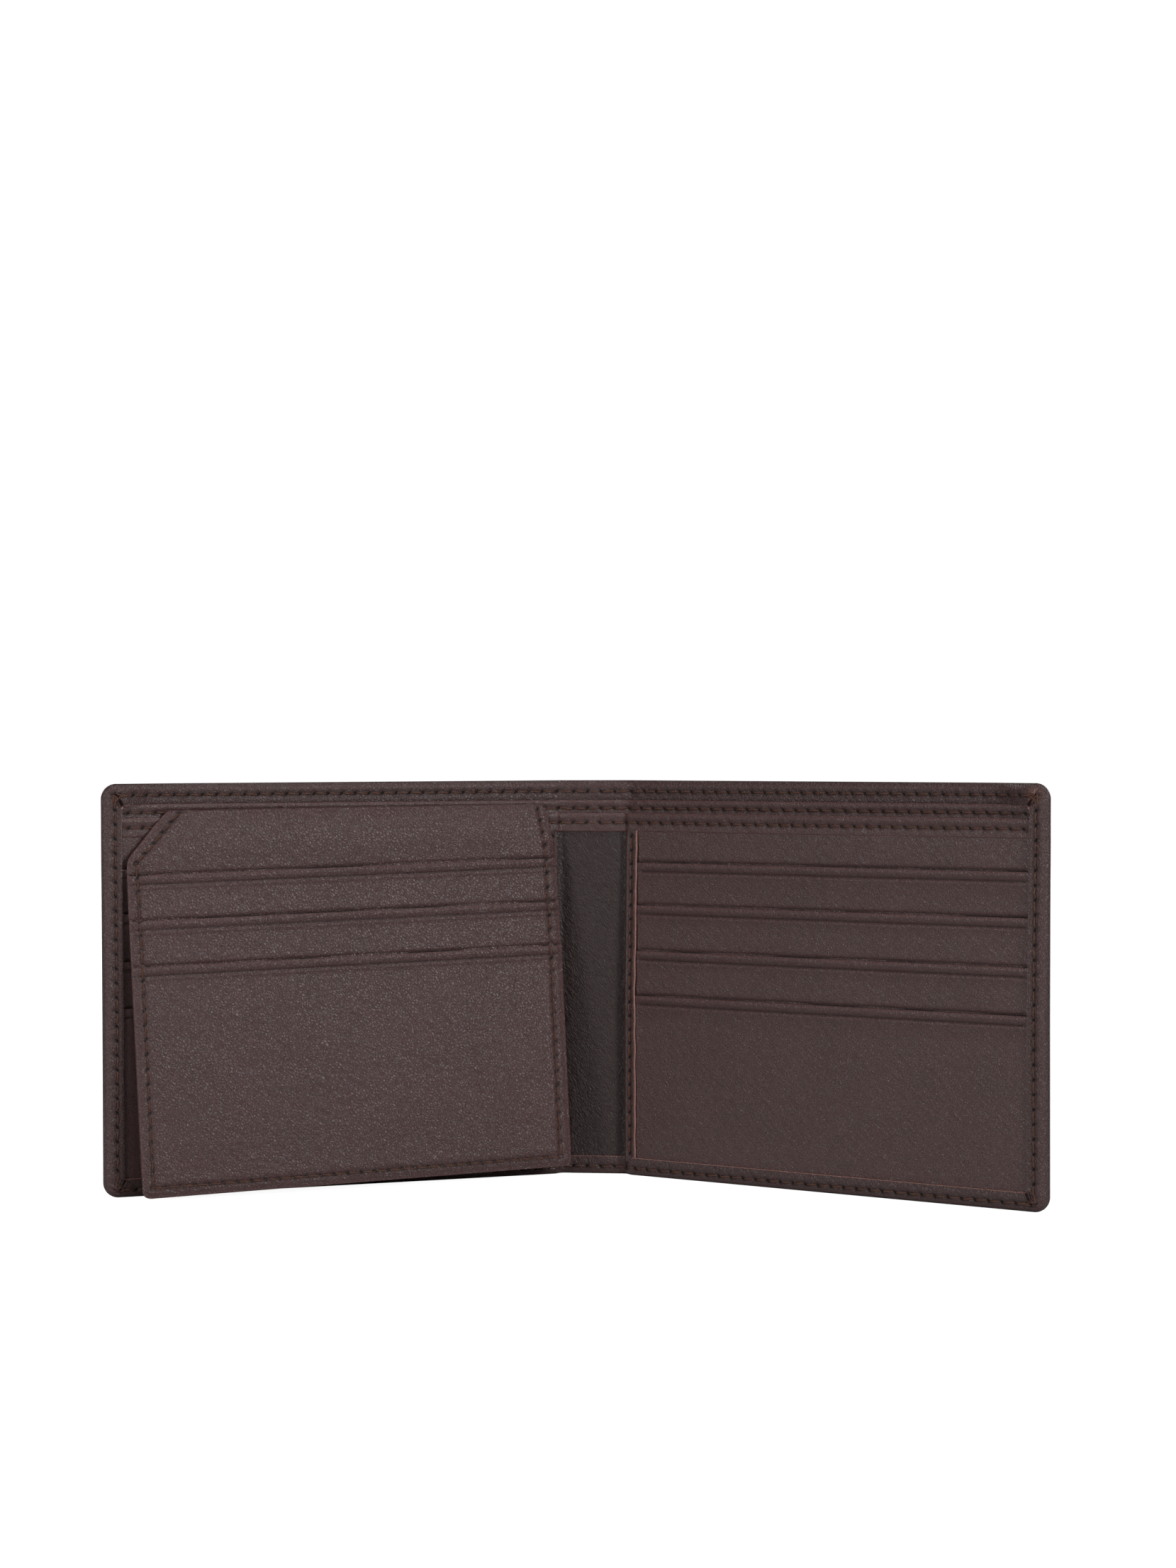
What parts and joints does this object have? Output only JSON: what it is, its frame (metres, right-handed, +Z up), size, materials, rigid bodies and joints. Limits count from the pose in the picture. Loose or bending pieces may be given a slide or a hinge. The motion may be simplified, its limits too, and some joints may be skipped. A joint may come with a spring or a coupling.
{
  "type": "bifold wallet",
  "caption": "Half-open leather bifold wallet standing on its lower edge, with bill pockets, stepped card slots in both halves and a lift-up card flap.",
  "frame": {"origin": "Middle of the bounding box's base, on the surface that the wallet stands on, as it stands half open.", "axes": "+X runs from the left half to the right half, parallel to the spine, for someone looking into the open wallet; +Y points from the open side to the spine; +Z is up."},
  "size_m": [0.2116, 0.0598, 0.092],
  "materials": {
    "cover_leather": "smooth fine-grained dark brown leather, satin",
    "inner_leather": "thin dark brown leather, satin, fine diagonal grain",
    "lining_cloth": "plain woven lining cloth, dark brown",
    "board": "bonded leather board, raw",
    "thread": "twisted polyester thread, orange brown"
  },
  "bodies": {
    "spine": {"spine_cover": "cover_leather", "spine_cover_edge_bottom": "cover_leather", "spine_cover_edge_top": "cover_leather", "spine_divider": "inner_leather", "spine_liner": "inner_leather", "spine_lining": "lining_cloth", "spine_threads": "thread"},
    "left_panel": {"left_bill_divider": "inner_leather", "left_bottom_thread": "thread", "left_card_backing": "inner_leather", "left_card_slot_1": "inner_leather", "left_card_slot_2": "inner_leather", "left_card_slot_3": "inner_leather", "left_card_slot_4": "inner_leather", "left_cover": "cover_leather", "left_cover_edge_bottom": "cover_leather", "left_cover_edge_side": "cover_leather", "left_cover_edge_top": "cover_leather", "left_cover_lining": "lining_cloth", "left_cover_stiffener": "board", "left_divider_thread": "thread", "left_inner_liner": "inner_leather", "left_inner_strip": "inner_leather", "left_liner_thread": "thread", "left_side_thread": "thread", "left_slot_linings": "lining_cloth", "left_strip_thread": "thread", "left_top_thread": "thread", "flap_tail": "inner_leather"},
    "right_panel": {"right_bill_divider": "inner_leather", "right_bottom_thread": "thread", "right_card_backing": "inner_leather", "right_card_slot_1": "inner_leather", "right_card_slot_2": "inner_leather", "right_card_slot_3": "inner_leather", "right_card_slot_4": "inner_leather", "right_cover": "cover_leather", "right_cover_edge_bottom": "cover_leather", "right_cover_edge_side": "cover_leather", "right_cover_edge_top": "cover_leather", "right_cover_lining": "lining_cloth", "right_cover_stiffener": "board", "right_divider_thread": "thread", "right_inner_liner": "inner_leather", "right_inner_strip": "inner_leather", "right_liner_thread": "thread", "right_side_thread": "thread", "right_slot_linings": "lining_cloth", "right_strip_thread": "thread", "right_top_thread": "thread"},
    "flap": {"flap_back": "inner_leather", "flap_face": "inner_leather", "flap_pocket": "inner_leather", "flap_slot_1": "inner_leather", "flap_slot_2": "inner_leather", "flap_slot_linings": "lining_cloth", "flap_thread": "thread"}
  },
  "joints": [
    {"name": "left_fold", "type": "hinge", "parent": "spine", "child": "left_panel", "pos_m": [-0.0074, 0.02611, 0], "axis": [0, 0, 1], "range_deg": [-26.7, 63.3]},
    {"name": "right_fold", "type": "hinge", "parent": "spine", "child": "right_panel", "pos_m": [0.0074, 0.02611, 0], "axis": [0, 0, -1], "range_deg": [-26.7, 63.3]},
    {"name": "flap_lift", "type": "hinge", "parent": "left_panel", "child": "flap", "pos_m": [-0.05577, 0.00111, 0.0856], "axis": [-0.8934, -0.4493, 0], "range_deg": [-4.7, 170]}
  ]
}
